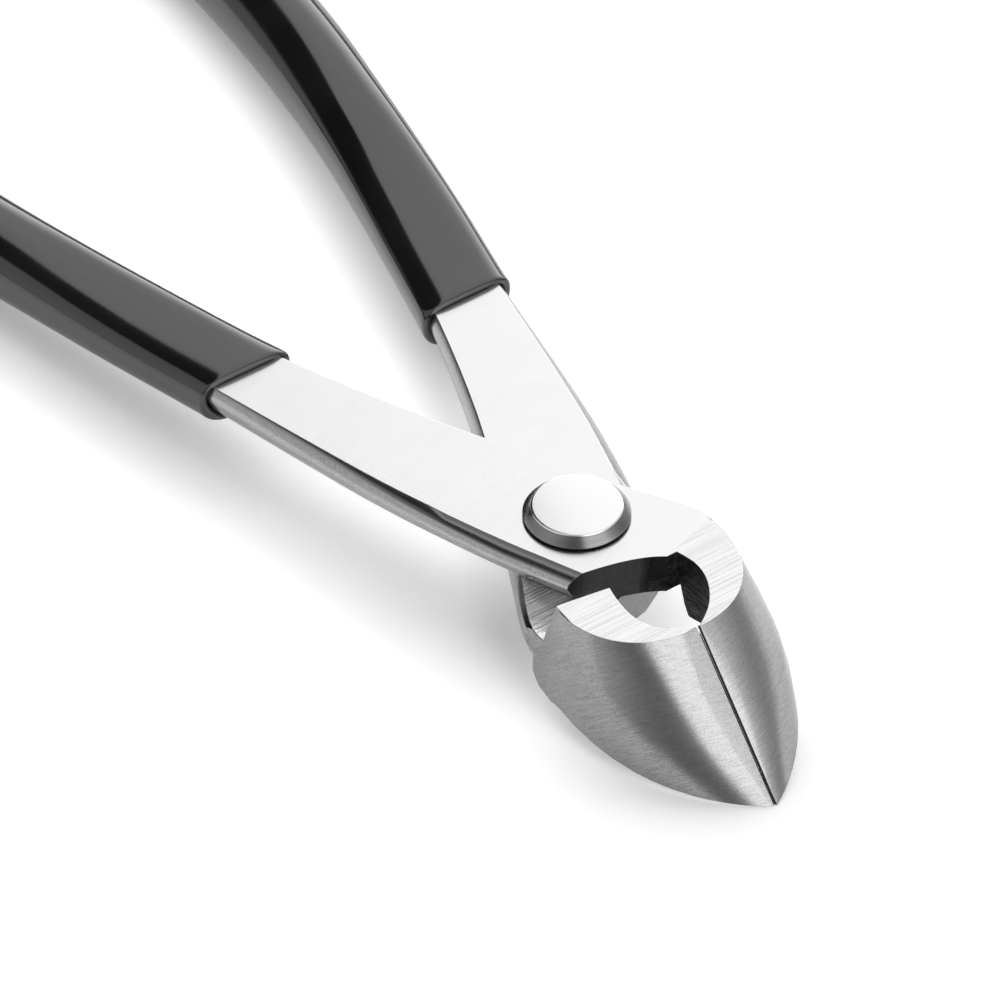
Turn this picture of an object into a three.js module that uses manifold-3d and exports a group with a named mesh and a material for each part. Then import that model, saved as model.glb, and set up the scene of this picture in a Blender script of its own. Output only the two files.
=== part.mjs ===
// Bonsai branch cutter with an angled head, closed. Millimetres, +Z up along the pivot,
// +X towards the jaws. The origin is the middle of the rivet head's flat face.
import * as THREE from 'three';
import { mergeVertices } from 'three/addons/utils/BufferGeometryUtils.js';
import { ParametricGeometry } from 'three/addons/geometries/ParametricGeometry.js';
import Module from 'manifold-3d';

const wasm = await Module();
wasm.setup();

// Overall sizes
const handleReach = 166; // pivot to the handle ends
const handleSpread = 32; // widest distance of a handle's middle line from the centre plane
const leverThickness = 5.75;
const leverWidth = 17; // across the ground face at the pivot

// Clearances and overruns
const layerGap = 0.2; // between the two levers' bearing faces
const seatGap = 0.3; // under the rivet head and the washer
const edgeGap = 0.42; // between the closed cutting edges
const boreGap = 0.3; // around the rivet's shank
const sleeveGap = 0.3; // between tang and grip
const overrun = 30; // how far a cutting body runs past what it cuts
const weldSize = 0.0001;

// Lever section: ground face with crisp edges, bulged flanks, rounded back
const widestShare = 0.32; // depth of the widest line, as a share of the thickness
const handleWidestShare = 0.5; // the same in the thick of the handle
const flankBulge = 1.85; // of the outer flank at the head
const innerFlankBulge = 1.25;
const neckBulge = 0.85; // of both flanks where the grip starts
const tangBulge = 1.2;
const flankUndercut = 1.5; // how far the back face's edge lies inside the ground face's edge
const flankRoundShare = 1.6; // how full the rounding of the back is
const slimStart = 18; // behind the pivot, where the lever starts to get slimmer
const tangStart = 62; // behind the pivot, where the tang has its full slimness
const tangThickness = 5.1;
const swellStart = 48; // behind the pivot, where the handle starts to get thicker again
const swellEnd = 105;
const handleThickness = 8; // of the tang in the thick of the handle
const tangRounding = 1.15; // how much the flat on top narrows there on each side
const tangEndRound = 4;
const handleRise = 1.9; // how far both handles lean up at their ends
const shoulderBulge = 0.55; // of the inner flank where it meets the jaw
const leverFront = 11.5; // how far the lever runs forward into the head

// Head
const headBack = 11; // from the pivot to the middle of the head's round top outline
const headHalfWidth = 12.45;
const lowerHeadBack = 13; // the same two for the lower half's jaw
const lowerHeadHalfWidth = 11.75;
const noseReach = 23.45; // from the pivot to the upper end of the cutting edge
const tipReach = 38.92; // from the pivot to the lower end of the cutting edge
const tipDrop = 17.16; // from the ground face down to the tip
const headFloorBack = 14;
const headFloorHalfWidth = 14.1;
const headFloorRiseShare = 0.24; // rise of the head's underside against the way back from the tip
const headTopFallShare = 0.018; // fall of the head's top face against the way forward
const topSquareShares = [2, 2.35]; // squareness along and across of the top outline
const floorSquareShares = [2.5, 1.17];
const wallBulge = 1; // of the jaws' outside, between the top face and the underside
const wallBulgeShare = 1.3; // above 1 brings the fullest line of the wall lower down
const wallBulgeStart = 4;
const wallBulgeEnd = 24;
// Outlines where the jaws meet the levers: shares of the outline's middle and half width
const shoulderShares = [[0.09, 0.61], [0.36, 0.807], [0.64, 0.936], [0.82, 0.98]];
const lowerShoulderShares = [[0.077, 0.613], [0.31, 0.783], [0.577, 0.894], [0.83, 0.949]];
const floorShoulderShares = [[0.071, 0.44], [0.32, 0.681], [0.6, 0.879], [0.793, 0.957]];
const edgeBevelWidth = 1.9; // second bevel of the lower half's jaw, at the nose
const edgeBevelDepth = 0.14;
const edgeBevelSpanShares = [-1, 2]; // of the way from the nose to the tip

// Notch between the pivot and the jaws, and the room behind the other half's jaw
const notchCornerForward = 8.55;
const notchCornerOut = 5.52; // on the handle's side
const notchBendForward = 9.75; // where the notch wall turns towards the jaw
const notchBendOut = 1.6;
const webEndForward = 12.2; // where the notch wall meets the jaw
const webEndOut = 4.4;
const webStepForward = 12; // a small step in the upper half, at the throat's end
const webStepOut = 5.6;
const notchWidth = 4;
const lowerNotchBack = 0.6; // how much further back the lower half's notch wall lies
// Line of a jaw's heel on the far face of the other half's layer
const heelOuterForward = 11.25;
const heelOuterOut = 11.3;
const heelInnerForward = 12.4;
const heelInnerOut = 4.2;
const heelLean = 0.89; // how much further back the lower half's heel lies at its foot
const heelOverrunShare = 1.4;
const heelRoom = 0.25; // how far the throat's wall runs on behind the jaw, below its own layer

// Throat between the jaws
const throatHalfWidth = 6.15; // in the upper half's jaw, at the top
const lowerThroatHalfWidth = 5.05;
const throatFloorHalfWidth = 8.6;
// Jaw's inner outlines: shares of the way from the notch to the edge, and of the half width
const throatShares = [[0, 0.91], [0.26, 1], [0.53, 0.88], [0.8, 0.52], [1, 0]];
const lowerThroatShares = [[0, 0.87], [0.235, 0.98], [0.53, 1], [0.79, 0.72], [1, 0]];
const throatFloorShares = [[0, 0.86], [0.18, 1], [0.42, 0.93], [0.665, 0.6], [0.86, 0.27], [1, 0]];
const throatFlareShare = 1.8; // above 1 keeps the throat's wall upright before it flares

// Pivot
const rivetHeadRadius = 6.42;
const rivetFaceRadius = 5.39;
const rivetHeadHeight = 1.7; // from the ground face to the rivet's flat face
const rivetRim = 0.25; // straight part of the head's rim
const shankRadius = 3.6;
const washerRadius = 6.2;
const washerThickness = 1.2;
const washerChamfer = 0.6;
const countersink = 0.7;

// Grips
const gripWall = 0.7;
const gripStart = 44; // behind the pivot
const lowerGripBack = 1.1; // how much further back the lower half's grip starts
const lipRound = 0.5;
const gripEndWall = 2.2;
const gripEndRound = 7;
const gripTopSquareShare = 3.6;
const gripBackSquareShare = 2.6;
const handleSquareShare = 2.25; // of the rounder section in the thick of the handle

// Mesh fineness
const railSteps = 44;
const headSteps = 14;
const headLevels = 5;
const roundSteps = 48;
const flankSteps = 3;
const endSteps = 6;
const gripSteps = 24;
const gripRailSteps = 24;

// Finishes
const steel = { color: 0xd9dadb, metalness: 1, roughness: 0.32 };
const rivetSteel = { color: 0xe2e2e2, metalness: 1, roughness: 0.4 };
const vinyl = { color: 0x0a0a0a, metalness: 0, roughness: 0.22 };

const groundZ = -rivetHeadHeight; // height of the ground top face
const backZ = groundZ - leverThickness; // height of the face between the two levers

// Middle line of a lever's ground face: forward share of the reach, outward share of the
// spread, and width share of the lever's width.
const railShares = [
  [0.075, -0.129, 0.95],
  [0.048, -0.101, 1.055],
  [0.024, -0.047, 1.041],
  [0, 0.015, 0.998],
  [-0.044, 0.114, 0.935],
  [-0.108, 0.247, 0.829],
  [-0.169, 0.36, 0.709],
  [-0.265, 0.513, 0.571],
  [-0.378, 0.672, 0.48],
  [-0.5, 0.824, 0.437],
  [-0.614, 0.935, 0.465],
  [-0.765, 1, 0.47],
  [-0.89, 0.965, 0.46],
  [-1, 0.885, 0.43],
];
const rail = new THREE.CatmullRomCurve3(
  railShares.map(([along, out, width]) => new THREE.Vector3(
    along * handleReach, -out * handleSpread, width * leverWidth)),
  false, 'centripetal');

// A closed surface through rings of points, with flat ends.
function loft(rings) {
  const middle = (ring) => {
    const centre = new THREE.Vector3();
    ring.forEach((point) => centre.add(point));
    return centre.divideScalar(ring.length);
  };
  const first = rings[0];
  const last = rings[rings.length - 1];
  const rows = [first.map(() => middle(first)), ...rings, last.map(() => middle(last))];
  const shape = (u, v, target) => {
    const row = rows[Math.round(v * (rows.length - 1))];
    target.copy(row[Math.round(u * row.length) % row.length]);
  };
  return new ParametricGeometry(shape, first.length, rows.length - 1);
}

// A closed geometry as a solid that can be joined and cut.
function toSolid(geometry) {
  const bare = geometry.clone();
  bare.deleteAttribute('normal');
  bare.deleteAttribute('uv');
  const welded = mergeVertices(bare, weldSize);
  const corners = [];
  for (let i = 0; i < welded.index.count; i += 3) {
    const triangle = [0, 1, 2].map((k) => welded.index.getX(i + k));
    if (new Set(triangle).size === 3) corners.push(...triangle);
  }
  const build = (order) => new wasm.Manifold(new wasm.Mesh({
    numProp: 3,
    vertProperties: new Float32Array(welded.attributes.position.array),
    triVerts: new Uint32Array(order),
  }));
  const solid = build(corners);
  return solid.volume() > 0 ? solid : build(corners.reverse());
}

function toGeometry(solid) {
  const { vertProperties, triVerts } = solid.getMesh();
  const geometry = new THREE.BufferGeometry();
  geometry.setAttribute('position', new THREE.BufferAttribute(vertProperties, 3));
  geometry.setIndex(new THREE.BufferAttribute(triVerts, 1));
  const faceted = geometry.toNonIndexed();
  faceted.computeVertexNormals();
  return faceted;
}

// A block between two corners.
function block(low, high) {
  const size = high.map((value, axis) => value - low[axis]);
  const geometry = new THREE.BoxGeometry(...size);
  geometry.translate(...low.map((value, axis) => value + size[axis] / 2));
  return toSolid(geometry);
}

// An upright prism of a plan outline between two heights.
function prism(outline, low, high) {
  const shape = new THREE.Shape(outline.map(([x, y]) => new THREE.Vector2(x, y)));
  const geometry = new THREE.ExtrudeGeometry(shape, { depth: high - low, bevelEnabled: false });
  geometry.translate(0, 0, low);
  return toSolid(geometry);
}

const { lerp, clamp, smoothstep } = THREE.MathUtils;

// The share of a lever's length, from front to end, at which it is this far forward.
function shareAt(x) {
  let low = 0;
  let high = 1;
  while (high - low > weldSize) {
    const middle = (low + high) / 2;
    if (rail.getPoint(middle).x > x) low = middle;
    else high = middle;
  }
  return (low + high) / 2;
}

// Where a half's lever is, how wide and how thick, at a share of its length.
function leverAt(share, isUpper) {
  const { x, y: middle, z: width } = rail.getPoint(share);
  const neck = clamp(-x / gripStart, 0, 1);
  const tang = smoothstep(-x, gripStart, tangStart);
  const shoulder = clamp(x / leverFront, 0, 1);
  const innerFlank = lerp(innerFlankBulge, shoulderBulge, shoulder);
  const swell = smoothstep(-x, swellStart, swellEnd);
  const slimming = (leverThickness - tangThickness) * smoothstep(-x, slimStart, tangStart);
  const thickening = (handleThickness - tangThickness) * swell - slimming;
  const thickness = leverThickness + thickening - (isUpper ? layerGap : 0);
  const rise = handleRise * clamp((-x - swellStart) / (handleReach - swellStart), 0, 1);
  const top = (isUpper ? groundZ : backZ) + rise + thickening / 2;
  const rounding = tangRounding * swell;
  return {
    x, middle, swell, thickness, top,
    width: width - 2 * rounding,
    widest: lerp(widestShare, handleWidestShare, swell) * thickness,
    outerBulge: lerp(lerp(flankBulge, neckBulge, neck), tangBulge, tang) + rounding,
    innerBulge: lerp(lerp(innerFlank, neckBulge, neck), tangBulge, tang) + rounding,
  };
}

// Stations along a lever between two places, then round the end, which tapers over its length.
function stationsTo(endReach, startX, endLength, steps) {
  const stations = [];
  const straightEnd = shareAt(endLength - endReach);
  const first = shareAt(startX);
  for (let i = 0; i < steps; i += 1) {
    stations.push({ share: lerp(first, straightEnd, i / steps), scale: 1 });
  }
  for (let i = 0; i < endSteps; i += 1) {
    const turn = (Math.PI / 2) * (i / endSteps);
    const x = endLength - endReach - endLength * Math.sin(turn);
    stations.push({ share: shareAt(x), scale: Math.cos(turn) });
  }
  return stations;
}

// Section of a lever across its length: ground face up, bulged flanks and a rounded back.
function leverRing(at, side, scale, margin) {
  const { x, middle, thickness, widest } = at;
  const flank = (sign, bulge) => {
    const points = [];
    for (let i = 0; i <= flankSteps; i += 1) {
      const share = i / flankSteps;
      points.push([bulge * (1 - (1 - share) ** 2), widest * share]);
    }
    for (let i = 1; i <= flankSteps; i += 1) {
      const share = i / flankSteps;
      const out = bulge - (bulge + flankUndercut) * share ** flankRoundShare;
      points.push([out, widest + (thickness - widest) * share]);
    }
    return points.map(([out, depth]) => {
      const grown = depth < thickness / 2 ? margin : -margin;
      const height = (widest - depth + grown) * scale + at.top - widest;
      const across = sign * (at.width / 2 + out + margin) * scale;
      return new THREE.Vector3(x, side * (middle + across), height);
    });
  };
  return [...flank(-1, at.outerBulge), ...flank(1, at.innerBulge).reverse()];
}

// The lever and tang of one half, grown by a margin.
function leverBlank(isUpper, startX, endReach, margin, steps) {
  const side = isUpper ? 1 : -1;
  const stations = stationsTo(endReach, startX, tangEndRound, steps);
  return toSolid(loft(stations.map(({ share, scale }) => leverRing(
    leverAt(share, isUpper), side, scale, margin))));
}

// Half of a squared oval, from its side round to its nose.
function ovalPoint(turn, back, reach, halfWidth, [along, across]) {
  const x = back + (reach - back) * Math.cos(turn) ** (2 / along);
  return [x, halfWidth * Math.sin(turn) ** (2 / across)];
}

const floorAt = (x) => groundZ - tipDrop + headFloorRiseShare * (tipReach - x);

// A body between a plan outline at the ground face and one on the head's underside, run on
// past both, and bulged outwards between them except on the centre plane.
function ruledBody(top, floor, bulge, flareShare) {
  const rings = [];
  for (let level = -1; level <= headLevels + 1; level += 1) {
    const share = level / headLevels;
    const flare = share > 0 ? share ** flareShare : share;
    const ring = top.map(([x, y], i) => {
      const [floorX, floorY] = floor[i];
      return new THREE.Vector3(
        lerp(x, floorX, share), lerp(y, floorY, flare), lerp(groundZ, floorAt(floorX), share));
    });
    const depth = clamp(share, 0, 1) ** wallBulgeShare;
    rings.push(ring.map((point, i) => {
      const along = ring[Math.min(i + 1, ring.length - 1)].clone().sub(ring[Math.max(i - 1, 0)]);
      const outwards = new THREE.Vector3(-along.y, along.x, 0).normalize();
      const sideways = Math.sqrt(Math.abs(point.y) / headFloorHalfWidth);
      const forward = smoothstep(point.x, wallBulgeStart, wallBulgeEnd);
      const swell = bulge * 4 * depth * (1 - depth) * sideways * forward;
      return point.clone().addScaledVector(outwards, swell);
    }));
  }
  return toSolid(loft(rings));
}

// The closed head's outside, with its ground top face and flat underside.
function headBlank(isUpper) {
  const outline = (shoulder, middle, reach, halfWidth, squareShares) => {
    const half = shoulder.map(([along, across]) => [along * middle, across * halfWidth]);
    for (let i = 0; i <= headSteps; i += 1) {
      const turn = (Math.PI / 2) * (1 - i / headSteps);
      half.push(ovalPoint(turn, middle, reach, halfWidth, squareShares));
    }
    return [...half, ...half.slice(0, -1).reverse().map(([x, y]) => [x, -y])];
  };
  const top = isUpper
    ? outline(shoulderShares, headBack, noseReach, headHalfWidth, topSquareShares)
    : outline(lowerShoulderShares, lowerHeadBack, noseReach, lowerHeadHalfWidth, topSquareShares);
  const floor = outline(
    floorShoulderShares, headFloorBack, tipReach, headFloorHalfWidth, floorSquareShares);
  const blank = ruledBody(top, floor, wallBulge, 1);
  const front = tipReach + overrun;
  const bottom = backZ - leverThickness;
  const floorStart = tipReach - (bottom - floorAt(tipReach)) / headFloorRiseShare;
  const profile = new THREE.Shape([
    new THREE.Vector2(0, groundZ),
    new THREE.Vector2(headBack, groundZ),
    new THREE.Vector2(front, groundZ - headTopFallShare * (front - headBack)),
    new THREE.Vector2(front, floorAt(front)),
    new THREE.Vector2(floorStart, bottom),
    new THREE.Vector2(0, bottom),
  ]);
  const slab = new THREE.ExtrudeGeometry(profile, { depth: 2 * overrun, bevelEnabled: false });
  slab.rotateX(Math.PI / 2);
  slab.translate(0, overrun, 0);
  return blank.intersect(toSolid(slab));
}

// The room between the jaws, on one half's side of the centre plane.
function throat(isUpper) {
  const side = isUpper ? 1 : -1;
  const start = isUpper ? webStepForward : webEndForward;
  const halfWidth = isUpper ? throatHalfWidth : lowerThroatHalfWidth;
  const shares = isUpper ? throatShares : lowerThroatShares;
  const outline = (reach, width, table) => {
    const curve = new THREE.SplineCurve(table.map(([along, across]) => new THREE.Vector2(
      lerp(start, reach, along), across * width)));
    const points = curve.getPoints(headSteps).map(({ x, y }) => [x, side * y]);
    return [...points, [reach, -side * edgeGap], [start, -side * edgeGap]];
  };
  const room = ruledBody(
    outline(noseReach, halfWidth, shares),
    outline(tipReach, throatFloorHalfWidth, throatFloorShares),
    0, throatFlareShare);
  if (!isUpper) return room;
  const behind = room.translate([-heelRoom, 0, 0])
    .intersect(block([0, -overrun, -overrun], [start, overrun, backZ]));
  return room.add(behind);
}

// What lies in front of the notch wall, between the pivot and the throat.
function notch(isUpper) {
  const side = isUpper ? 1 : -1;
  const back = isUpper ? 0 : lowerNotchBack;
  const wall = new THREE.QuadraticBezierCurve(
    new THREE.Vector2(notchCornerForward - back, -notchCornerOut),
    new THREE.Vector2(notchBendForward - back, notchBendOut),
    new THREE.Vector2(webEndForward - back, webEndOut));
  const slope = (notchBendForward - notchCornerForward) / (notchBendOut + notchCornerOut);
  const start = notchCornerForward - back - slope * notchWidth;
  const front = webEndForward + notchWidth;
  const points = wall.getPoints(headSteps).map(({ x, y }) => [x, y]);
  const step = isUpper ? [[webStepForward, webStepOut]] : [];
  const jawSide = isUpper ? webStepOut : webEndOut;
  const outside = notchCornerOut + notchWidth;
  const outline = [[start, -outside], ...points, ...step, [front, jawSide], [front, -outside]];
  return prism(outline.map(([x, y]) => [x, side * y]), groundZ - overrun, groundZ + overrun);
}

// What lies behind a jaw in the other half's layer, up to the leaning heel face.
function behindHeel(isUpper) {
  const side = isUpper ? 1 : -1;
  const foot = backZ + (isUpper ? layerGap : 0);
  const away = isUpper ? -leverThickness : leverThickness;
  const ring = (share) => {
    const lean = isUpper ? 0 : heelLean * (1 - share);
    const along = [heelInnerForward - heelOuterForward, heelInnerOut - heelOuterOut];
    const out = [heelOuterForward - along[0] - lean, heelOuterOut - along[1]];
    const inner = [heelInnerForward + along[0] - lean, heelInnerOut + along[1]];
    const corners = [out, inner, [-overrun, inner[1]], [-overrun, out[1]]];
    return corners.map(([x, y]) => new THREE.Vector3(x, side * y, foot + away * share));
  };
  return toSolid(loft([ring(0), ring(heelOverrunShare)]));
}

// The thin flat ground along the cutting edge of the lower half's jaw.
function edgeBevel() {
  const back = noseReach - edgeBevelDepth;
  const width = edgeBevelWidth;
  const outlineX = lowerHeadBack + (noseReach - lowerHeadBack)
    * (1 - (width / lowerHeadHalfWidth) ** topSquareShares[1]) ** (1 / topSquareShares[0]);
  const slope = (outlineX - back) / width;
  const quad = [[back - slope * width, width], [back + 2 * slope * width, -2 * width]];
  const front = quad.map(([x, y]) => [x + width, y]).reverse();
  const ring = (share) => [...quad, ...front].map(([x, y]) => new THREE.Vector3(
    x + share * (tipReach - noseReach), y, groundZ - share * tipDrop));
  return toSolid(loft(edgeBevelSpanShares.map(ring)));
}

function barrel(radius, low, high) {
  const geometry = new THREE.CylinderGeometry(radius, radius, high - low, roundSteps);
  geometry.rotateX(Math.PI / 2);
  geometry.translate(0, 0, (low + high) / 2);
  return toSolid(geometry);
}

// One forging: handle tang, lever, and a jaw that reaches through both layers.
function half(isUpper) {
  const lowY = isUpper ? edgeGap / 2 : -overrun;
  const highY = isUpper ? overrun : -edgeGap / 2;
  const far = tipReach + overrun;
  let jaw = headBlank(isUpper)
    .intersect(block([0, lowY, -overrun], [far, highY, overrun]))
    .subtract(throat(isUpper))
    .subtract(behindHeel(isUpper));
  if (!isUpper) jaw = jaw.subtract(edgeBevel());
  return leverBlank(isUpper, leverFront, handleReach - gripEndWall, 0, railSteps)
    .add(jaw)
    .subtract(notch(isUpper))
    .subtract(barrel(shankRadius + boreGap, -overrun, overrun));
}

// A dipped sleeve, open at the front, with a round end.
function grip(isUpper) {
  const side = isUpper ? 1 : -1;
  const grown = sleeveGap + gripWall;
  const ring = (at, scale, growth) => {
    const { x, middle, swell, thickness, top, width, widest } = at;
    const points = [];
    for (let i = 0; i < gripSteps; i += 1) {
      const turn = (2 * Math.PI * i) / gripSteps;
      const up = Math.sin(turn) >= 0;
      const crisp = up ? gripTopSquareShare : gripBackSquareShare;
      const square = 2 / lerp(crisp, handleSquareShare, swell);
      const bulge = Math.cos(turn) < 0 ? at.outerBulge : at.innerBulge;
      const halfWidth = width / 2 + bulge + growth;
      const tall = (up ? widest : thickness - widest) + growth;
      const across = Math.sign(Math.cos(turn)) * halfWidth * Math.abs(Math.cos(turn)) ** square;
      const height = Math.sign(Math.sin(turn)) * tall * Math.abs(Math.sin(turn)) ** square;
      points.push(new THREE.Vector3(
        x, side * (middle + scale * across), top - widest + scale * height));
    }
    return points;
  };
  const start = -gripStart - (isUpper ? 0 : lowerGripBack);
  const stations = stationsTo(handleReach, start - lipRound, gripEndRound, gripRailSteps);
  const rings = stations.map(({ share, scale }) => ring(leverAt(share, isUpper), scale, grown));
  rings.unshift(ring(leverAt(shareAt(start), isUpper), 1, grown - lipRound));
  const inside = leverBlank(
    isUpper, overrun - gripStart, handleReach - gripEndWall + sleeveGap, sleeveGap, railSteps);
  return toSolid(loft(rings)).subtract(inside);
}

function lathe(profile) {
  const points = profile.map(([radius, z]) => new THREE.Vector2(radius, z));
  const geometry = new THREE.LatheGeometry(points, roundSteps);
  geometry.rotateX(Math.PI / 2);
  return toSolid(geometry);
}

const headFootZ = seatGap - rivetHeadHeight;
const washerTopZ = backZ - leverThickness - seatGap;
const washerFootZ = washerTopZ - washerThickness;

// The pivot: a chamfered head and a shank, its tail spread in the washer's countersink.
function rivet() {
  return lathe([
    [0, 0],
    [rivetFaceRadius, 0],
    [rivetHeadRadius, headFootZ + rivetRim],
    [rivetHeadRadius, headFootZ],
    [shankRadius, headFootZ],
    [shankRadius, washerFootZ + countersink],
    [shankRadius + countersink, washerFootZ],
    [0, washerFootZ],
  ]);
}

function washer() {
  const bore = shankRadius + boreGap;
  return lathe([
    [bore, washerTopZ],
    [washerRadius, washerTopZ],
    [washerRadius, washerFootZ + washerChamfer],
    [washerRadius - washerChamfer, washerFootZ],
    [bore + countersink, washerFootZ],
    [bore, washerFootZ + countersink],
    [bore, washerTopZ],
  ]);
}

const cutter = new THREE.Group();

function addPiece(name, solid, look) {
  const piece = new THREE.Mesh(toGeometry(solid), new THREE.MeshStandardMaterial(look));
  piece.name = name;
  cutter.add(piece);
}

addPiece('upper_jaw_lever', half(true), steel);
addPiece('lower_jaw_lever', half(false), steel);
addPiece('pivot_rivet', rivet(), rivetSteel);
addPiece('tail_washer', washer(), rivetSteel);
addPiece('upper_grip', grip(true), vinyl);
addPiece('lower_grip', grip(false), vinyl);

export default cutter;
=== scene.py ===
import bpy, bmesh, math
from mathutils import Matrix, Vector
from mathutils.bvhtree import BVHTree


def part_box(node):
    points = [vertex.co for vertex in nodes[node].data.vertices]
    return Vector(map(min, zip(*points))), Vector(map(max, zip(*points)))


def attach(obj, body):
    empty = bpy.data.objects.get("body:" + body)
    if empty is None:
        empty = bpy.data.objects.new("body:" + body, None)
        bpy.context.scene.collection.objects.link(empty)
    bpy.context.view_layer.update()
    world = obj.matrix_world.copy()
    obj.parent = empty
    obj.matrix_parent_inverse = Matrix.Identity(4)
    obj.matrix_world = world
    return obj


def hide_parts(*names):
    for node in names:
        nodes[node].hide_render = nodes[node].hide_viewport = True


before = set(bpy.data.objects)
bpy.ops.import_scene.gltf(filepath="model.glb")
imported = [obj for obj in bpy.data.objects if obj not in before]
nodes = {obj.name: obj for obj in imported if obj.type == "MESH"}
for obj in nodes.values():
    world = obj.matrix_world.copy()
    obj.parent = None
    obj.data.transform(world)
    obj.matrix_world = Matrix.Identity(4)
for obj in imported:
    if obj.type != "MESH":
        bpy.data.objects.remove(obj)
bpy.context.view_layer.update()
mm = 0.001


# Shader maths as plain Python
class Wire:
    def __init__(self, socket):
        self.socket = socket

    def maths(self, operation, first, second=0.0):
        return addNode(self.socket.id_data, "ShaderNodeMath",
                       {"operation": operation}, {0: first, 1: second})

    def __add__(self, other):
        return self.maths("ADD", self, other)

    def __radd__(self, other):
        return self.maths("ADD", other, self)

    def __sub__(self, other):
        return self.maths("SUBTRACT", self, other)

    def __rsub__(self, other):
        return self.maths("SUBTRACT", other, self)

    def __mul__(self, other):
        return self.maths("MULTIPLY", self, other)

    def __rmul__(self, other):
        return self.maths("MULTIPLY", other, self)

    def __abs__(self):
        return self.maths("ABSOLUTE", self)

    def most(self, other):
        return self.maths("MAXIMUM", self, other)

    # 0 below low, 1 above high, eased between
    def step(self, low, high):
        return addNode(self.socket.id_data, "ShaderNodeMapRange", {"interpolation_type": "SMOOTHSTEP"},
                       {"Value": self, "From Min": low, "From Max": high})


# A node with its settings made first, then its sockets; returns the output asked for
def addNode(tree, kind, settings=None, sockets=None, out=0):
    node = tree.nodes.new(kind)
    for name, value in (settings or {}).items():
        setattr(node, name, value)
    for name, value in (sockets or {}).items():
        if isinstance(value, Wire):
            tree.links.new(value.socket, node.inputs[name])
        else:
            node.inputs[name].default_value = value
    return Wire(node.outputs[out])


def grey(level):
    return (level, level, level, 1)


class Finish:
    def __init__(self, name):
        self.material = bpy.data.materials.new(name)
        self.material.use_nodes = True
        self.tree = self.material.node_tree
        self.shader = self.tree.nodes["Principled BSDF"]

    def node(self, kind, settings=None, sockets=None, out=0):
        return addNode(self.tree, kind, settings, sockets, out)

    def place(self):
        return self.node("ShaderNodeTexCoord", out="Object")

    def axes(self):
        split = self.node("ShaderNodeSeparateXYZ", sockets={0: self.place()})
        return [Wire(split.socket.node.outputs[axis]) for axis in range(3)]

    # Noise on the object's own coordinates, turned about Z and then stretched: lumps to the metre,
    # one number or one for each axis
    def noise(self, stretch, turn=0.0, detail=2.0, rough=0.5):
        if not isinstance(stretch, tuple):
            stretch = (stretch, stretch, stretch)
        turned = self.node("ShaderNodeMapping", sockets={
            "Vector": self.place(), "Rotation": (0, 0, math.radians(turn))})
        scaled = self.node("ShaderNodeVectorMath", {"operation": "MULTIPLY"}, {0: turned, 1: stretch})
        return self.node("ShaderNodeTexNoise", sockets={
            "Vector": scaled, "Scale": 1.0, "Detail": detail, "Roughness": rough})

    # Noise whose grain follows numbers worked out on the surface
    def grain(self, x, y, z, detail=2.0):
        joined = self.node("ShaderNodeCombineXYZ", sockets={0: x, 1: y, 2: z})
        return self.node("ShaderNodeTexNoise", sockets={"Vector": joined, "Scale": 1.0, "Detail": detail})

    def mix(self, mask, low, high):
        return self.node("ShaderNodeMix", {"data_type": "RGBA"}, {0: mask, 6: low, 7: high}, out=2)

    def mixNumber(self, mask, low, high):
        return self.node("ShaderNodeMix", {"data_type": "FLOAT"}, {0: mask, 2: low, 3: high})

    def bump(self, height, strength, distance):
        return self.node("ShaderNodeBump", sockets={
            "Strength": strength, "Distance": distance, "Height": height})

    def gloss(self, level):
        self.shader.inputs["Specular IOR Level"].default_value = level

    # Sets the shader's sockets and hands back the material
    def set(self, **values):
        for name, value in values.items():
            socket = self.shader.inputs[name.replace("_", " ")]
            if isinstance(value, Wire):
                self.tree.links.new(value.socket, socket)
            else:
                socket.default_value = value
        return self.material

    # Puts another shader in the Principled's place
    def show(self, shader):
        self.tree.links.new(shader.socket, self.tree.nodes["Material Output"].inputs["Surface"])
        return self.material


# Steel and vinyl finishes. Side is 1 for the upper half and -1 for the lower one
flatSteel = {
    "shade": 0.74,                    # ground flats of the levers and the head
    "rough": 0.25,
    "headLine": 0.14,                 # how much darker a brush line is
    "leverLine": 0.012,
    "lineDetail": 3.0,
    "lineEdge": (0.3, 0.66),          # noise levels between which a line fades out
    "lineBump": 0.6,
    "lineHeight": 0.06 * mm,
    "leverGrain": (2600, 110, 2600),
    "leverTurn": 18.0,                # degrees that the lever's lines lean
    "headGrain": (5200, 70, 5200),
    "patchGrain": 160,
    "patchRough": 0.06,
    "creaseForward": 11.6 * mm,       # where the head's grinding starts, on the centre line
    "creaseSlant": 0.29,
    "creaseOut": 5.6 * mm,
    "creaseBlend": 0.25 * mm,
    "heelPaintedLight": 0.98,                # the lower half's heel, filed by hand beside the upper lever; its lighter shade is painted light
    "heelLine": 0.42,
    "heelStart": 1.0 * mm,
    "heelBlend": 0.5 * mm,
}


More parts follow.
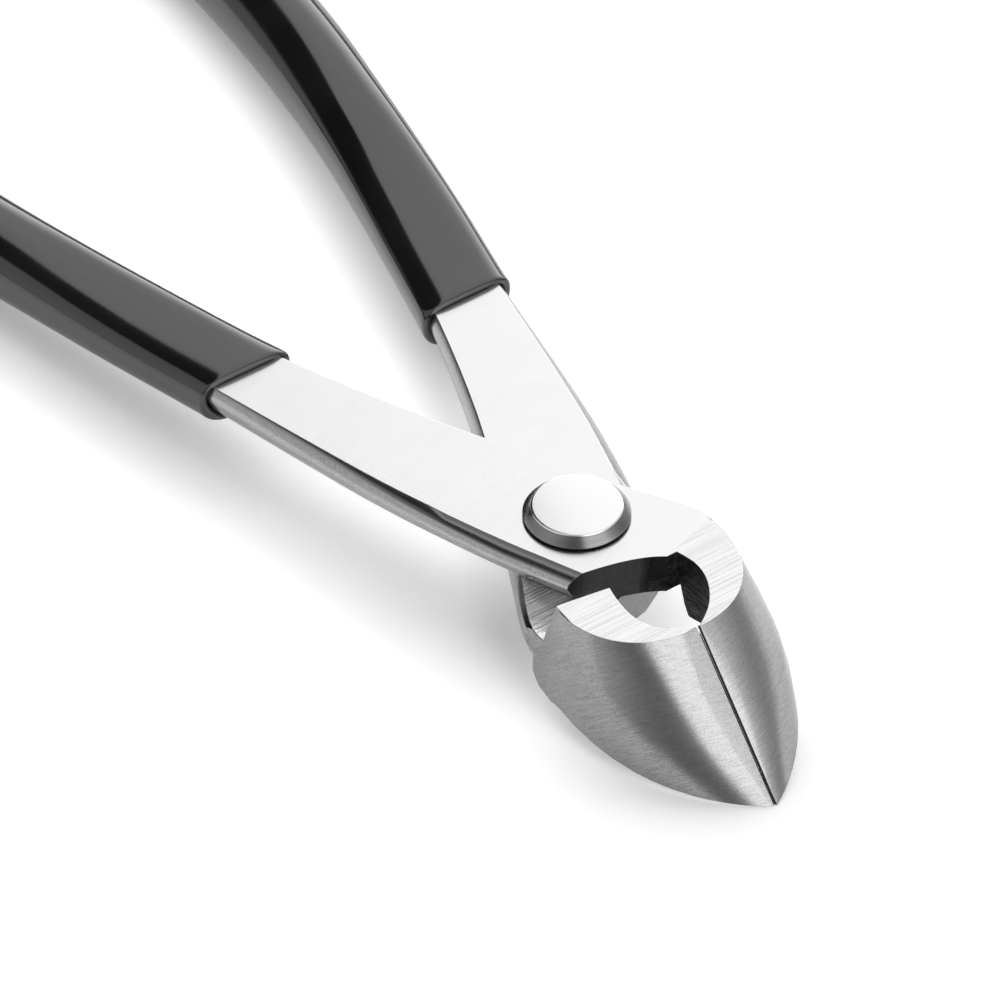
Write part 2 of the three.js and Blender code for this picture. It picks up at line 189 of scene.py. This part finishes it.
def groundFlats(name, side):
    s = flatSteel
    steel = Finish(name)
    x, y, z = steel.axes()
    leverLines = steel.noise(s["leverGrain"], turn=-side * s["leverTurn"], detail=s["lineDetail"])
    headLines = steel.noise(s["headGrain"], detail=s["lineDetail"])
    patches = steel.noise(s["patchGrain"])
    crease = x + s["creaseSlant"] * (abs(y) - s["creaseOut"])
    onHead = crease.step(s["creaseForward"] - s["creaseBlend"], s["creaseForward"] + s["creaseBlend"])
    isLower = (1 - side) / 2
    onHeel = isLower * (1 - onHead) * (x - s["heelStart"]).step(0, s["heelBlend"])
    lines = steel.mixNumber(onHead.most(onHeel), leverLines, headLines).step(*s["lineEdge"])
    depth = steel.mixNumber(onHead, s["leverLine"], s["headLine"]) + s["heelLine"] * onHeel
    # painted light: the heel gets a lighter shade than the other flats beside the upper lever
    shade = steel.mix(onHeel, grey(s["shade"]), grey(s["heelPaintedLight"]))
    colour = steel.mix(depth * (1 - lines), shade, grey(0))
    rough = s["rough"] + s["patchRough"] * (patches - 0.5) + depth * (0.5 - lines)
    return steel.set(Base_Color=colour, Metallic=1.0, Roughness=rough,
                     Normal=steel.bump(depth * lines, s["lineBump"], s["lineHeight"]))


wallSteel = {
    "shade": 0.42,
    "rough": 0.20,
    "roughMore": 0.12,
    "line": 0.24,                     # how much darker the bottom of a scratch is
    "lineEdge": (0.36, 0.6),
    "lineBump": 0.3,
    "lineHeight": 0.02 * mm,
    "lineDetail": 3.0,
    "lineShare": 0.42,                # lines against speckles
    "track": (0.67, 0.22, -0.74),     # the belt's track round the jaw climbs along these
    "fine": 5600.0,                   # lines to the metre across the track
    "along": 560.0,
    "speckle": 6000,
    "wallPaintedShade": 0.28,                     # painted shade: how much darker it is made towards the jaw's outer edge, between these distances from the centre plane, and nearer to it below this height
    "wallShadeEdge": (8 * mm, 14 * mm),    # between these distances from the centre plane,
    "wallShadeTop": -7 * mm,               # and nearer to it below this height
    "wallShadeSlant": 0.6,
}


def jawWalls(name):
    s = wallSteel
    steel = Finish(name)
    x, y, z = steel.axes()
    forwards, outwards, upwards = s["track"]
    level = forwards * x + upwards * z + outwards * abs(y)
    lines = steel.grain(s["fine"] * level, s["along"] * y, s["along"] * x, detail=s["lineDetail"])
    both = s["lineShare"] * lines + (1 - s["lineShare"]) * steel.noise(s["speckle"])
    mask = both.step(*s["lineEdge"])
    # painted shade: the walls are made darker towards the outer edge and towards the bottom
    outside = abs(y) + s["wallShadeSlant"] * (s["wallShadeTop"] - z).most(0)
    paintedWallShade = s["wallPaintedShade"] * outside.step(*s["wallShadeEdge"])
    colour = steel.mix(s["line"] * (1 - mask) + paintedWallShade, grey(s["shade"]), grey(0))
    return steel.set(Base_Color=colour, Metallic=1.0, Roughness=s["rough"] + s["roughMore"] * (0.5 - both),
                     Normal=steel.bump(both, s["lineBump"], s["lineHeight"]))


flankSteel = {
    "shade": 0.42,
    "rough": 0.25,
    "roughMore": 0.12,
    "line": 0.2,
    "lineEdge": (0.38, 0.62),
    "lineDetail": 3.0,
    "lineShare": 0.25,                # lines against speckles
    "lineHeight": 0.004 * mm,
    "grain": (500, 2600, 3600),
    "speckle": 4800,
    # The flank is worn round below the ground face: this deep at the grips, this much more by the pivot
    "shoulder": {1: 0.82 * mm, -1: 0.1 * mm},
    "shoulderMore": {1: 0.5 * mm, -1: 0.9 * mm},
    "shoulderFrom": {1: -30 * mm, -1: -5 * mm},
    "shoulderTo": 2 * mm,
    "shoulderRadius": 1.2 * mm,
    "shoulderBend": 0.85 * mm,        # it stops bending this far up
    "skin": 0.6,                      # painted shade: how dark the worn-round shoulder is made by the pivot, and what share of that at the grips
    "shoulderShadeLeast": 0.3,                 # and what share of that at the grips
    "shoulderShadeFade": (-30 * mm, -12 * mm),
    "skinAndShadeEdge": (0.28 * mm, 0.5 * mm),
}


def leverFlanks(name, side, top):
    s = flankSteel
    steel = Finish(name)
    x, y, z = steel.axes()
    lines = steel.noise(s["grain"], detail=s["lineDetail"])
    both = s["lineShare"] * lines + (1 - s["lineShare"]) * steel.noise(s["speckle"])
    mask = both.step(*s["lineEdge"])
    byPivot = x.step(s["shoulderFrom"][side], s["shoulderTo"])
    deep = s["shoulder"][side] + s["shoulderMore"][side] * byPivot
    shoulder = (z - top + deep).most(0)
    straight = (shoulder - s["shoulderBend"]).most(0)
    bent = shoulder * shoulder - straight * straight
    height = s["lineHeight"] * both - bent * (0.5 / s["shoulderRadius"])
    # painted shade: the worn-round shoulder is painted darker, most by the pivot
    shoulderShadeKept = s["shoulderShadeLeast"] + (1 - s["shoulderShadeLeast"]) * x.step(*s["shoulderShadeFade"])
    paintedShoulderShade = s["skin"] * shoulderShadeKept * shoulder.step(*s["skinAndShadeEdge"])
    colour = steel.mix(paintedShoulderShade.most(s["line"] * (1 - mask)), grey(s["shade"]), grey(0))
    return steel.set(Base_Color=colour, Metallic=1.0, Roughness=s["rough"] + s["roughMore"] * (0.5 - both),
                     Normal=steel.bump(height, 1.0, 1.0))


forgedSkin = {
    "black": 0.012,
    "brown": 0.075,
    "milled": {1: 0.10, -1: 0.30},    # the lower half's wall is ground brighter
    "millVary": 0.07,
    "millEdge": (0.3, 0.7),
    "millHeight": 0.04,
    "skinAndShadeEdge": (1.3 * mm, 2.6 * mm),  # where the black skin starts, out from the centre plane
    "ragged": 1.2 * mm,
    "throatForward": 13.0 * mm,       # forward of this all of it is black
    "throatBlend": 0.6 * mm,
    "brownEdge": (0.48, 0.72),
    "scaleShare": 0.4,
    "height": 0.8 * mm,
    "millGrain": 1500,
    "lumpGrain": 420,
    "lumpDetail": 5.0,
    "lumpRough": 0.62,
    "scaleGrain": 1700,
    "scaleDetail": 3.0,
    "roughMilled": 0.42,
    "roughBlack": 0.5,
    "gloss": 0.15,
}


def forgedThroat(name, side):
    s = forgedSkin
    skin = Finish(name)
    x, y, z = skin.axes()
    milling = skin.noise(s["millGrain"])
    lumps = skin.noise(s["lumpGrain"], detail=s["lumpDetail"], rough=s["lumpRough"])
    scale = skin.noise(s["scaleGrain"], detail=s["scaleDetail"])
    outwards = side * y + s["ragged"] * (lumps - 0.5)
    inThroat = (x - s["throatForward"]).step(0, s["throatBlend"])
    blackened = outwards.step(*s["skinAndShadeEdge"]).most(inThroat)
    bare = s["milled"][side]
    milled = skin.mix(milling.step(*s["millEdge"]), grey((1 - s["millVary"]) * bare),
                      grey((1 + s["millVary"]) * bare))
    scaled = skin.mix(lumps.step(*s["brownEdge"]), grey(s["black"]), grey(s["brown"]))
    height = skin.mixNumber(blackened, s["millHeight"] * milling, lumps + s["scaleShare"] * scale)
    skin.gloss(s["gloss"])
    return skin.set(Base_Color=skin.mix(blackened, milled, scaled),
                    Metallic=skin.mixNumber(blackened, 1.0, 0.0),
                    Roughness=skin.mixNumber(blackened, s["roughMilled"], s["roughBlack"]),
                    Normal=skin.bump(height, 1.0, s["height"]))


# The faces where the closed jaws meet, and where the halves pass each other: painted near-black, as painted
# shade for the slit between the jaws
slitShadeSteel = {
    "shade": (0.04, 0.06),
    "lineEdge": (0.3, 0.7),
    "rough": 0.5,
    "roughMore": 0.1,
    "grain": (3000, 3000, 400),
}


def jawMeetingPaintedShade(name):
    s = slitShadeSteel
    steel = Finish(name)
    lines = steel.noise(s["grain"])
    darker, lighter = s["shade"]
    colour = steel.mix(lines.step(*s["lineEdge"]), grey(darker), grey(lighter))
    return steel.set(Base_Color=colour, Metallic=1.0, Roughness=s["rough"] + s["roughMore"] * (lines - 0.5))


turnedSteel = {
    "face": 0.77,
    "chamfer": 0.26,
    "rough": 0.24,
    "roughMore": 0.06,
    "faceLine": 0.04,
    "chamferLine": 0.26,
    "lineEdge": (0.3, 0.7),
    "lineBump": 0.05,
    "lineHeight": 0.02 * mm,
    "ringGrain": 9000.0,
    "ringVary": 30.0,
    "faceDepth": 0.16 * mm,           # below this height the turned chamfer starts
    "faceBlend": 0.04 * mm,
}


def rivetFinish(name):
    s = turnedSteel
    steel = Finish(name)
    x, y, z = steel.axes()
    flatPlace = steel.node("ShaderNodeCombineXYZ", sockets={0: x, 1: y, 2: 0.0})
    radius = steel.node("ShaderNodeVectorMath", {"operation": "LENGTH"}, {0: flatPlace}, out="Value")
    rings = steel.grain(s["ringGrain"] * radius, s["ringGrain"] * z, s["ringVary"] * x)
    onFace = (z + s["faceDepth"]).step(-s["faceBlend"], s["faceBlend"])
    shade = steel.mix(onFace, grey(s["chamfer"]), grey(s["face"]))
    line = s["chamferLine"] + (s["faceLine"] - s["chamferLine"]) * onFace
    colour = steel.mix(line * (1 - rings.step(*s["lineEdge"])), shade, grey(0))
    return steel.set(Base_Color=colour, Metallic=1.0, Roughness=s["rough"] + s["roughMore"] * (0.5 - rings),
                     Normal=steel.bump(rings, s["lineBump"], s["lineHeight"]))


vinyl = {
    "shade": (0.004, 0.008),
    "shadeEdge": (0.3, 0.7),
    "rough": 0.12,
    "roughMore": 0.05,
    "gloss": 0.9,
    "swellGrain": (45, 90, 90),       # slow waves of the dipped skin
    "poreGrain": 2600,
    "poreShare": 0.03,
    "bump": 0.12,
    "height": 0.3 * mm,
}


def blackVinyl(name):
    s = vinyl
    skin = Finish(name)
    swell = skin.noise(s["swellGrain"])
    pores = skin.noise(s["poreGrain"])
    darker, lighter = s["shade"]
    colour = skin.mix(swell.step(*s["shadeEdge"]), grey(darker), grey(lighter))
    skin.gloss(s["gloss"])
    rough = s["rough"] + s["roughMore"] * (swell - 0.5) + s["roughMore"] * (pores - 0.5)
    return skin.set(Base_Color=colour, Roughness=rough,
                    Normal=skin.bump(swell + s["poreShare"] * pores, s["bump"], s["height"]))


print("finishes made")


# Mesh helpers
cleaning = {"nodeMerge": 0.001 * mm, "spinMerge": 0.002 * mm}


def asPiece(mesh, name, body, replaced, materials, smoothAngle):
    for edge in mesh.edges:
        edge.smooth = len(edge.link_faces) == 2 and edge.calc_face_angle(0) < math.radians(smoothAngle)
    for face in mesh.faces:
        face.smooth = True
    data = bpy.data.meshes.new(name)
    mesh.to_mesh(data)
    mesh.free()
    piece = bpy.data.objects.new(name, data)
    bpy.context.scene.collection.objects.link(piece)
    for material in materials:
        data.materials.append(material)
    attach(piece, body)
    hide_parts(*replaced)
    return piece


def copyOf(nodeName):
    mesh = bmesh.new()
    mesh.from_mesh(nodes[nodeName].data)
    bmesh.ops.remove_doubles(mesh, verts=mesh.verts, dist=cleaning["nodeMerge"])
    return mesh


def spunSolid(profile, steps):
    mesh = bmesh.new()
    points = [mesh.verts.new((radius * mm, 0, height * mm)) for radius, height in profile]
    edges = [mesh.edges.new(pair) for pair in zip(points, points[1:])]
    bmesh.ops.spin(mesh, geom=points + edges, cent=(0, 0, 0), axis=(0, 0, 1), angle=math.tau,
                   steps=steps, use_merge=True, use_duplicate=False)
    bmesh.ops.remove_doubles(mesh, verts=mesh.verts, dist=cleaning["spinMerge"])
    bmesh.ops.recalc_face_normals(mesh, faces=mesh.faces)
    return mesh


def vertsOf(grown):
    return [item for item in grown["geom"] if isinstance(item, bmesh.types.BMVert)]


# The two forged halves
forging = {
    "flatTilt": 0.93,                 # faces that look up or down more than this are ground flats
    "leverTop": {1: -1.7 * mm, -1: -7.45 * mm},
    "headStart": 7.0 * mm,
    "headMiddle": 17.0 * mm,
    "meetingTilt": 0.98,              # faces that look this squarely at the other half,
    "meetingReach": 0.6 * mm,         # this near to the centre plane, meet or pass it
    "throatTilt": 0.8,
    "flatAngle": 0.2,                 # degrees between faces that are merged as one
    "cleanUp": 0.05 * mm,
    "cleanAfter": 0.002 * mm,
    "edgeRound": 0.09 * mm,
    "bladeRound": 0.035 * mm,         # along the closed cutting edges
    "bladeReach": 0.3 * mm,
    "slitShadeReach": 0.195 * mm,                # the meeting faces run on this far to close the slit,
    "slitShadeBack": 0.16 * mm,             # and this far back
    "edgeSteps": 2,
    "sharp": 35.0,                    # degrees; edges sharper than this are rounded
    "smooth": 34.0,
    "flatFaceWeight": 60,
}
zones = {"flats": 0, "flanks": 1, "walls": 2, "throat": 3, "meeting": 4}


def zoneOf(face):
    middle, facing = face.calc_center_median(), face.normal
    fromHead = Vector((middle.x - forging["headMiddle"], middle.y))
    inward = fromHead.dot(Vector((facing.x, facing.y))) < 0
    if abs(facing.z) > forging["flatTilt"]:
        return zones["flats"]
    if middle.x < forging["headStart"]:
        return zones["flanks"]
    if abs(facing.y) > forging["meetingTilt"] and abs(middle.y) < forging["meetingReach"]:
        return zones["meeting"]
    return zones["throat"] if inward and abs(facing.z) < forging["throatTilt"] else zones["walls"]


def roundEdges(mesh, chosen, offset):
    sharp = [edge for edge in mesh.edges if len(edge.link_faces) == 2 and chosen(edge)
             and edge.calc_face_angle(0) > math.radians(forging["sharp"])]
    bmesh.ops.bevel(mesh, geom=sharp, offset=offset, offset_type="OFFSET", affect="EDGES",
                    segments=forging["edgeSteps"], profile=0.5, material=-1,
                    clamp_overlap=False, loop_slide=True)


def onBlade(edge):
    return all(abs(end.co.y) < forging["bladeReach"] and end.co.x > forging["headStart"]
               for end in edge.verts)


def offBlade(edge):
    return not onBlade(edge)


# A sheet of painted shade that closes the slit behind the cutting edges: the meeting faces run on in their
# near-black finish
def slitShadeLip(mesh, side):
    meeting = [face for face in mesh.faces if face.material_index == zones["meeting"]]
    ends = vertsOf(bmesh.ops.extrude_face_region(mesh, geom=meeting))
    bmesh.ops.translate(mesh, verts=ends, vec=(-forging["slitShadeBack"], -side * forging["slitShadeReach"], 0))
    for vert in ends:
        for face in vert.link_faces:
            face.material_index = zones["meeting"]


# The rounding can overshoot at the needle-thin tip, so every point is held inside the solid's own box
def holdInside(mesh, nodeName):
    low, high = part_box(nodeName)
    for vert in mesh.verts:
        vert.co = Vector(min(max(at, least), most) for at, least, most in zip(vert.co, low, high))


def forgedHalf(nodeName, name, body, side):
    mesh = copyOf(nodeName)
    bmesh.ops.dissolve_limit(mesh, angle_limit=math.radians(forging["flatAngle"]),
                             verts=mesh.verts, edges=mesh.edges)
    bmesh.ops.dissolve_degenerate(mesh, dist=forging["cleanUp"], edges=mesh.edges)
    for face in mesh.faces:
        face.material_index = zoneOf(face)
    slitShadeLip(mesh, side)
    roundEdges(mesh, offBlade, forging["edgeRound"])
    roundEdges(mesh, onBlade, forging["bladeRound"])
    bmesh.ops.dissolve_degenerate(mesh, dist=forging["cleanAfter"], edges=mesh.edges)
    holdInside(mesh, nodeName)
    finishes = [groundFlats(name + "Flats", side),       # in the order of the zones
                leverFlanks(name + "Flanks", side, forging["leverTop"][side]),
                jawWalls(name + "JawWalls"),
                forgedThroat(name + "Throat", side),
                jawMeetingPaintedShade(name + "MeetingPaintedShade")]
    piece = asPiece(mesh, name, body, [nodeName], finishes, forging["smooth"])
    weighted = piece.modifiers.new("evenShading", "WEIGHTED_NORMAL")
    weighted.keep_sharp = True
    weighted.weight = forging["flatFaceWeight"]


forgedHalf("upper_jaw_lever", "upperForging", "upper_half", 1)
forgedHalf("lower_jaw_lever", "lowerForging", "lower_half", -1)
print("forged halves dressed")


# Rivet and washer: radius and height of the turned profiles, in millimetres
turning = {
    "steps": 96,
    "smooth": 30.0,
    "rivet": [(0, 0), (5.18, 0), (5.34, -0.02), (5.45, -0.10),           # the face and its broken edge
              (6.32, -1.07), (6.40, -1.20), (6.40, -1.34), (6.34, -1.4),  # the chamfer and the rim
              (3.6, -1.4), (3.6, -14.0),                                  # the shank
              (4.25, -14.62), (4.1, -14.7), (0, -14.7)],                  # the spread tail
    "washer": [(3.9, -13.5), (6.1, -13.5), (6.2, -13.58), (6.2, -14.08), (6.12, -14.2),
               (5.72, -14.62), (5.55, -14.7), (4.6, -14.7), (3.9, -14.0), (3.9, -13.5)],
}


def turnedPiece(nodeName, name, profileName, finishName):
    mesh = spunSolid(turning[profileName], turning["steps"])
    finishes = [rivetFinish(finishName)]
    asPiece(mesh, name, "upper_half", [nodeName], finishes, turning["smooth"])


turnedPiece("pivot_rivet", "pivotRivetTurned", "rivet", "turnedRivet")
turnedPiece("tail_washer", "tailWasherTurned", "washer", "turnedWasher")
print("rivet and washer turned")


# Dipped grips: a skin drawn over the solid, rolled in at the front until it touches the steel
grip = {
    "sides": 40,
    "spacing": 2.4 * mm,
    "castFrom": 30 * mm,              # the skin's points are cast inwards from here
    "frontRoll": [(1.5, 1), (0.7, 1), (0.34, 0.97), (0.12, 0.84), (0.01, 0.58), (0.06, 0.3),
                  (0.2, 0.08), (0.45, 0.0)],    # mm back from the front, share of the coat's thickness
    "rollCast": 0.85 * mm,            # the roll's rings are cast at least this far back
    "endRound": 7.0 * mm,
    "endSteps": 7,
    "endCast": 0.05 * mm,
    "poleBack": 0.02 * mm,
    "smoothLevels": 1,
    "smooth": 180.0,
}


# Where a ray from well outside first meets a solid
def firstHit(solid, middle, outwards):
    return solid.ray_cast(middle + grip["castFrom"] * outwards, -outwards)[0]


def middleAt(solid, x, height):
    middle = Vector((x, 0, height))
    across = [firstHit(solid, middle + Vector((0, side * grip["castFrom"], 0)), Vector((0, side, 0))).y
              for side in (-1, 1)]
    middle.y = sum(across) / 2
    middle.z = sum(firstHit(solid, middle, Vector((0, 0, side))).z for side in (-1, 1)) / 2
    return middle


# The rings from the front to the end: where each stands, where it is cast, its share of the coat
def gripStations(front, end):
    stations = []
    for back, share in reversed(grip["frontRoll"]):
        x = front - back * mm
        stations.append((x, min(x, front - grip["rollCast"]), share))
    rollEnd = stations[-1][0]
    straightEnd = end + grip["endRound"]
    count = round((rollEnd - straightEnd) / grip["spacing"])
    straight = [rollEnd - i * (rollEnd - straightEnd) / count for i in range(1, count + 1)]
    rounding = [straightEnd - grip["endRound"] * math.sin(math.pi / 2 * i / grip["endSteps"])
                for i in range(1, grip["endSteps"])]
    return stations + [(x, x, 1) for x in straight + rounding]


# The vertex that an extruded one grew from
def older(vert, ring):
    return next(edge.other_vert(vert) for edge in vert.link_edges if edge.other_vert(vert) not in ring)


def dippedGrip(nodeName, leverName, name, body):
    low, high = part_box(nodeName)
    front, end, height = high[0], low[0], (low[2] + high[2]) / 2
    coat, steel = (BVHTree.FromBMesh(copyOf(node)) for node in (nodeName, leverName))
    mesh = bmesh.new()
    ring = bmesh.ops.create_circle(mesh, cap_ends=False, segments=grip["sides"], radius=1)["verts"]
    edges = mesh.edges[:]
    turns = {vert: math.atan2(vert.co.y, vert.co.x) for vert in ring}
    for number, (x, castX, share) in enumerate(gripStations(front, end)):
        if number:
            grown = bmesh.ops.extrude_edge_only(mesh, edges=edges)
            ring = vertsOf(grown)
            edges = [item for item in grown["geom"] if isinstance(item, bmesh.types.BMEdge)
                     and all(end in ring for end in item.verts)]
            turns = {vert: turns[older(vert, ring)] for vert in ring}
        middle = middleAt(coat, castX, height)
        for vert in ring:
            outwards = Vector((0, math.cos(turns[vert]), math.sin(turns[vert])))
            outside = firstHit(coat, middle, outwards)
            inside = firstHit(steel, middle, outwards) if share < 1 else outside
            vert.co = inside.lerp(outside, share)
            vert.co.x = x
    tip = middleAt(coat, end + grip["endCast"], height)
    pole = vertsOf(bmesh.ops.extrude_edge_only(mesh, edges=edges))
    bmesh.ops.pointmerge(mesh, verts=pole, merge_co=Vector((end + grip["poleBack"], tip.y, tip.z)))
    bmesh.ops.recalc_face_normals(mesh, faces=mesh.faces)
    finishes = [blackVinyl(name + "Vinyl")]
    piece = asPiece(mesh, name, body, [nodeName], finishes, grip["smooth"])
    rounded = piece.modifiers.new("smoothSkin", "SUBSURF")
    rounded.levels = rounded.render_levels = grip["smoothLevels"]


dippedGrip("upper_grip", "upper_jaw_lever", "upperGripDip", "upper_half")
dippedGrip("lower_grip", "lower_jaw_lever", "lowerGripDip", "lower_half")
print("grips dipped")


# Floor, light and camera; directions are azimuth from the nose to the left and elevation, in degrees
studio = {
    "floorSize": 6.0,
    "floorShade": 0.86,
    "floorGlow": 0.34,
    "floorDrop": 0.05 * mm,
    "restTilt": 0.9,                  # the face of the hull that it lies on looks down more than this
    "restBelow": -8 * mm,
    "lampDistance": 1.2,
    "lamps": {                        # direction, width, height and brightness
        "keyLamp": ((158, 44), 1.5, 0.75, 5.6),
        "fillLamp": ((0, 38), 0.6, 0.6, 5.0),
    },
    "cardRadius": 2.2,
    "cardSteps": (24, 12),
    # Azimuths and elevations that a card spans; brightness at its first and last azimuth, more at its foot
    "cards": {
        "backCard": ((98, 154, 30, 74), (1.31, 1.31, 0)),
        "footCard": ((98, 154, 5, 30), (1.31, 1.31, 2.2)),
        "frontCard": ((-20, 32, -3, 60), (2.0, 2.0, 0)),
        "noseCard": ((32, 64, -3, 60), (1.2, 0.4, 0)),
        "rightCard": ((64, 98, -3, 40), (0.4, 0.8, 0)),
        "darkCard": ((154, 207, -3, 76), (0.02, 0.02, 0)),
        "sideCard": ((207, 262, -3, 76), (0.6, 0.85, 0)),
        "cameraCard": ((262, 316, -3, 76), (0.9, 0.24, 0)),
        "tipCard": ((316, 340, -3, 76), (0.24, 0.22, 0)),
        "lowCard": ((98, 154, -3, 5), (0.3, 0.3, 0)),
    },
}


def heading(azimuth, elevation):
    azimuth, elevation = math.radians(azimuth), math.radians(elevation)
    level = math.cos(elevation)
    return Vector((level * math.cos(azimuth), level * math.sin(azimuth), math.sin(elevation)))


# The plane that the closed tool lies on: the widest downward face of its hull
def restingPlane():
    hull = bmesh.new()
    for node in nodes.values():
        hull.from_mesh(node.data)
    made = bmesh.ops.convex_hull(hull, input=hull.verts)["geom"]
    below = [item for item in made if isinstance(item, bmesh.types.BMFace)
             and abs(item.normal.z) > studio["restTilt"]
             and item.calc_center_median().z < studio["restBelow"]]
    widest = max(below, key=lambda face: face.calc_area())
    upwards = widest.normal * math.copysign(1, widest.normal.z)
    place = widest.calc_center_median() - studio["floorDrop"] * upwards
    hull.free()
    return place, upwards


# 1 for the rays that show the background: seen directly, mirrored or through glass
def seesBackdrop(tree):
    path = addNode(tree, "ShaderNodeLightPath").socket.node
    rays = [Wire(path.outputs[name]) for name in ("Is Camera Ray", "Is Glossy Ray", "Is Transmission Ray")]
    return rays[0].most(rays[1]).most(rays[2])


def stageObject(name, mesh, material):
    data = bpy.data.meshes.new(name)
    mesh.to_mesh(data)
    mesh.free()
    data.materials.append(material)
    stood = bpy.data.objects.new(name, data)
    bpy.context.scene.collection.objects.link(stood)
    return stood


# White paper, clear from below so that the underside can be looked at
def makeFloor():
    place, upwards = restingPlane()
    mesh = bmesh.new()
    bmesh.ops.create_grid(mesh, x_segments=1, y_segments=1, size=studio["floorSize"] / 2)
    lean = Vector((0, 0, 1)).rotation_difference(upwards).to_matrix().to_4x4()
    bmesh.ops.transform(mesh, matrix=Matrix.Translation(place) @ lean, verts=mesh.verts)
    paper = Finish("floorPaper")
    diffuse = paper.node("ShaderNodeBsdfDiffuse", sockets={"Color": grey(studio["floorShade"])})
    glow = paper.node("ShaderNodeEmission", sockets={
        "Color": grey(1), "Strength": studio["floorGlow"] * seesBackdrop(paper.tree)})
    lit = paper.node("ShaderNodeAddShader", sockets={0: diffuse, 1: glow})
    fromBelow = paper.node("ShaderNodeNewGeometry", out="Backfacing")
    clear = paper.node("ShaderNodeBsdfTransparent")
    both = paper.node("ShaderNodeMixShader", sockets={0: fromBelow, 1: lit, 2: clear})
    stageObject("floorSheet", mesh, paper.show(both))


# A glowing card bent round the tool, which only shiny surfaces see
def makeCard(name, reach, levels):
    card = Finish(name)
    fromSide, toSide, low, high = reach
    first, last, footMore = levels
    across = card.node("ShaderNodeSeparateXYZ", sockets={0: card.node("ShaderNodeTexCoord", out="UV")})
    up = Wire(across.socket.node.outputs["Y"])
    foot = card.mix(across, grey(first + footMore), grey(last + footMore))
    colour = card.mix(up, foot, card.mix(across, grey(first), grey(last)))
    glow = card.node("ShaderNodeEmission", sockets={"Color": colour})
    mesh = bmesh.new()
    mesh.loops.layers.uv.new("across")
    columns, rows = studio["cardSteps"]
    bmesh.ops.create_grid(mesh, x_segments=columns, y_segments=rows, size=0.5, calc_uvs=True)
    for vert in mesh.verts:
        azimuth = fromSide + (vert.co.x + 0.5) * (toSide - fromSide)
        elevation = low + (vert.co.y + 0.5) * (high - low)
        vert.co = studio["cardRadius"] * heading(azimuth, elevation)
    stood = stageObject(name, mesh, card.show(glow))
    stood.visible_camera = stood.visible_diffuse = stood.visible_transmission = stood.visible_shadow = False


# A soft lamp for the paper and the dull surfaces, which shiny ones don't mirror
def makeLamp(name, direction, width, height, brightness):
    towards = heading(*direction)
    lamp = bpy.data.lights.new(name, "AREA")
    lamp.shape = "RECTANGLE"
    lamp.size, lamp.size_y = width, height
    lamp.energy = brightness * math.pi * width * height
    stood = bpy.data.objects.new(name, lamp)
    stood.location = studio["lampDistance"] * towards
    stood.rotation_mode = "QUATERNION"
    stood.rotation_quaternion = (-towards).to_track_quat("-Z", "Y")
    stood.visible_camera = stood.visible_glossy = False
    bpy.context.scene.collection.objects.link(stood)


def makeSky():
    world = bpy.data.worlds.new("studioWorld")
    bpy.context.scene.world = world
    world.use_nodes = True
    background = world.node_tree.nodes["Background"]
    background.inputs["Color"].default_value = grey(1)
    world.node_tree.links.new(seesBackdrop(world.node_tree).socket, background.inputs["Strength"])


camera = {
    "aim": (-5.92 * mm, -6.83 * mm, 0),   # the middle of the picture, in the plane of the rivet's face
    "azimuth": -36.012,
    "elevation": 41.702,
    "roll": -0.138,
    "distance": 0.933,
    "lens": 286.62,
    "sensor": 36.0,
    "sees": (0.05, 20.0),
}


def makeCamera():
    data = bpy.data.cameras.new("photoCamera")
    data.lens = camera["lens"]
    data.sensor_width = camera["sensor"]
    data.clip_start, data.clip_end = camera["sees"]
    shot = bpy.data.objects.new("photoCamera", data)
    back = heading(camera["azimuth"], camera["elevation"])
    level = Vector((0, 0, 1)).cross(back).normalized()
    right = Matrix.Rotation(math.radians(camera["roll"]), 3, back) @ level
    turned = Matrix((right, back.cross(right), back)).transposed().to_4x4()
    shot.matrix_world = Matrix.Translation(Vector(camera["aim"]) + camera["distance"] * back) @ turned
    bpy.context.scene.collection.objects.link(shot)
    bpy.context.scene.camera = shot


makeFloor()
for cardName, facts in studio["cards"].items():
    makeCard(cardName, *facts)
for lampName, facts in studio["lamps"].items():
    makeLamp(lampName, *facts)
makeSky()
makeCamera()
bpy.context.scene.view_settings.view_transform = "Standard"
print("studio set")
